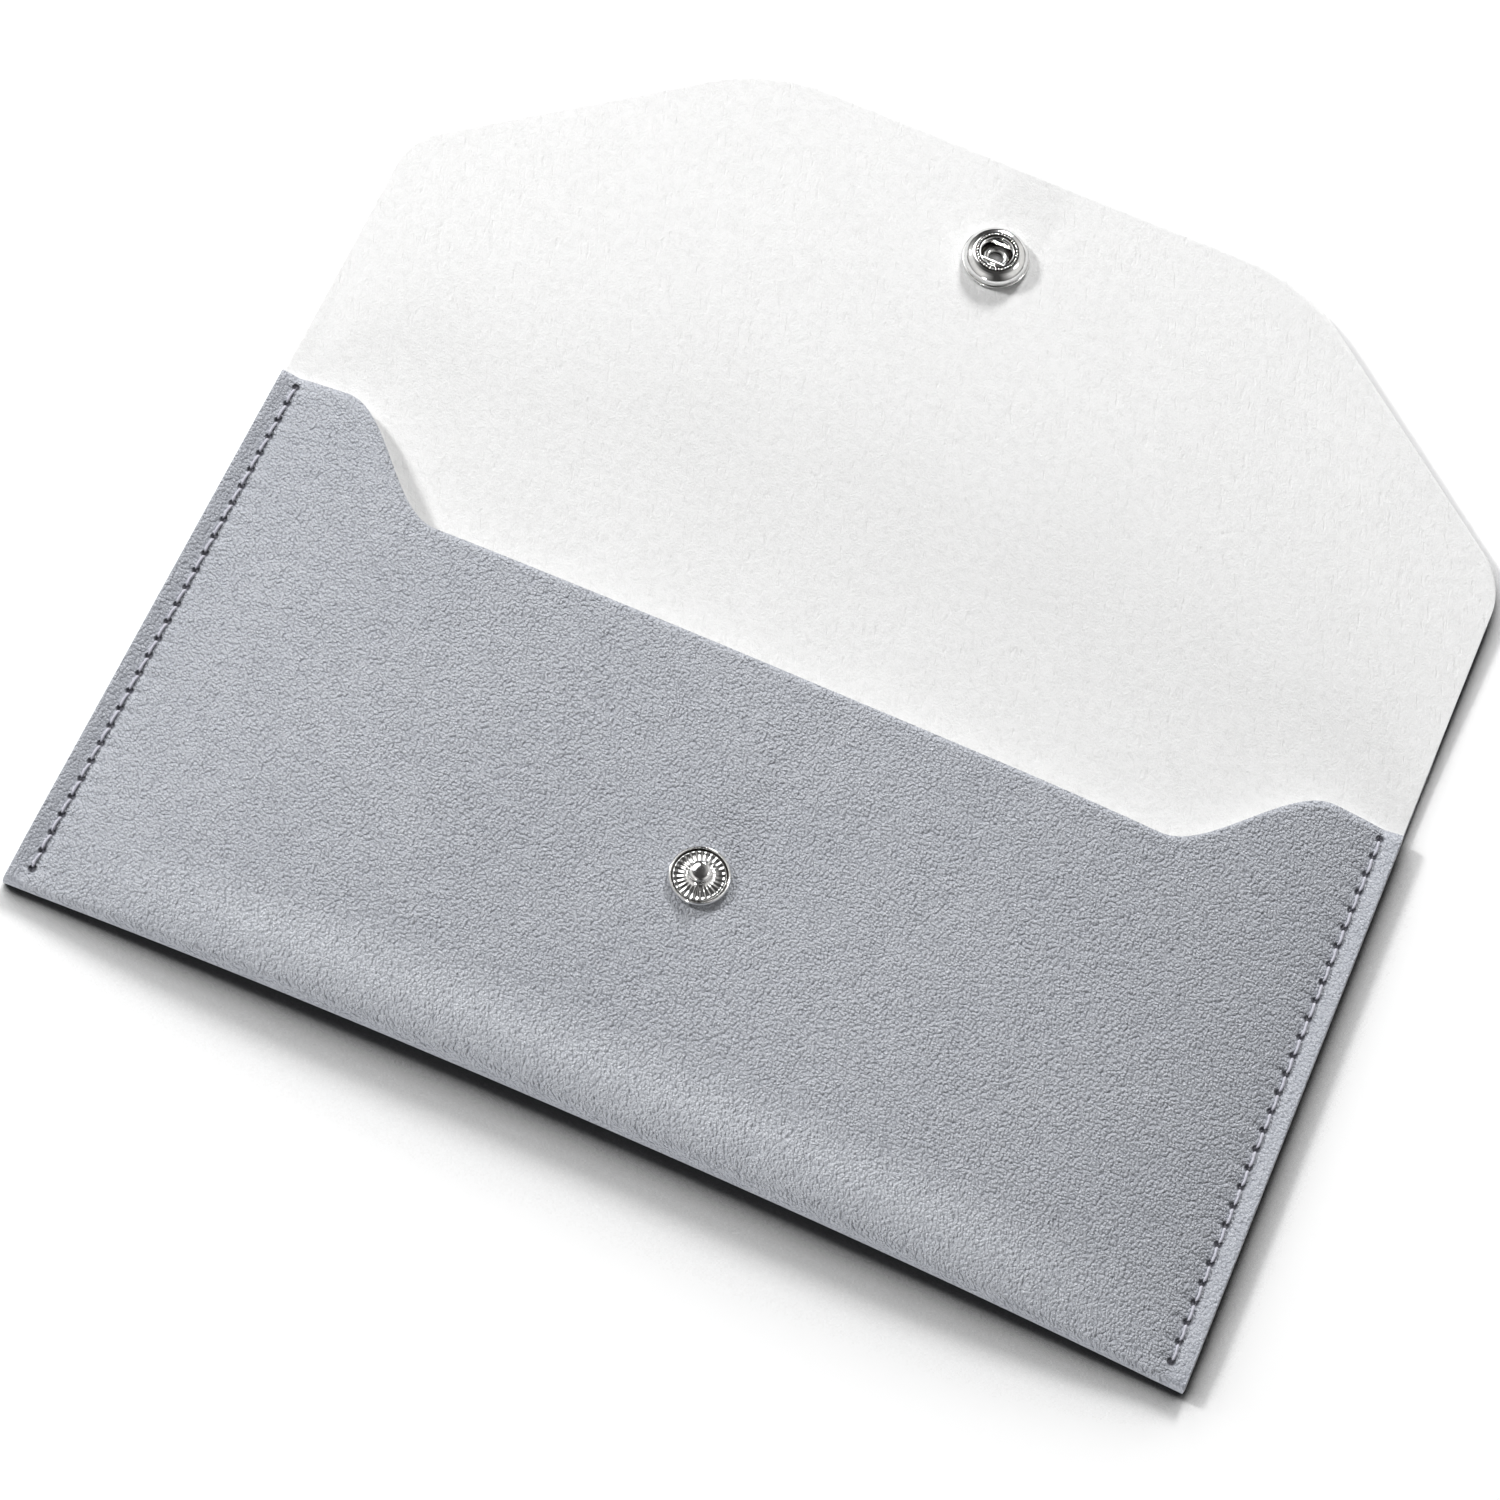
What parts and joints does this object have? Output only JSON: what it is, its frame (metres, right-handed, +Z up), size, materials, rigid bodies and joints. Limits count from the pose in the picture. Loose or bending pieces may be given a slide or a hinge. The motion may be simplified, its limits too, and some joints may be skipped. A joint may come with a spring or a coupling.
{
  "type": "envelope wallet",
  "caption": "Slim leather envelope wallet: a folded, side-stitched pocket with a cut-out mouth and a tapered flap that closes with a snap.",
  "frame": {"origin": "middle of the pocket's back face, on the surface the open wallet lies on", "axes": "+X along the bottom fold, +Y from the bottom fold towards the flap, +Z up, out of the front panel"},
  "size_m": [0.19, 0.1808, 0.0101],
  "materials": {
    "leather": "soft pebble grain, grey outside, white nap inside",
    "thread": "twisted sewing thread",
    "nickel": "bright nickel plate",
    "spring_steel": "bright drawn wire"
  },
  "bodies": {
    "pocket_body": {"pocket": "leather", "left_needle_thread": "thread", "left_bobbin_thread": "thread", "right_needle_thread": "thread", "right_bobbin_thread": "thread", "snap_stud": "nickel", "stud_post": "nickel"},
    "flap_body": {"flap": "leather", "snap_cap": "nickel", "snap_socket": "nickel", "socket_spring": "spring_steel"}
  },
  "joints": [
    {"name": "flap_hinge", "type": "hinge", "parent": "pocket_body", "child": "flap_body", "pos_m": [0, 0.05455, 0.0044], "axis": [1, 0, 0], "range_deg": [0, 175.35]}
  ]
}
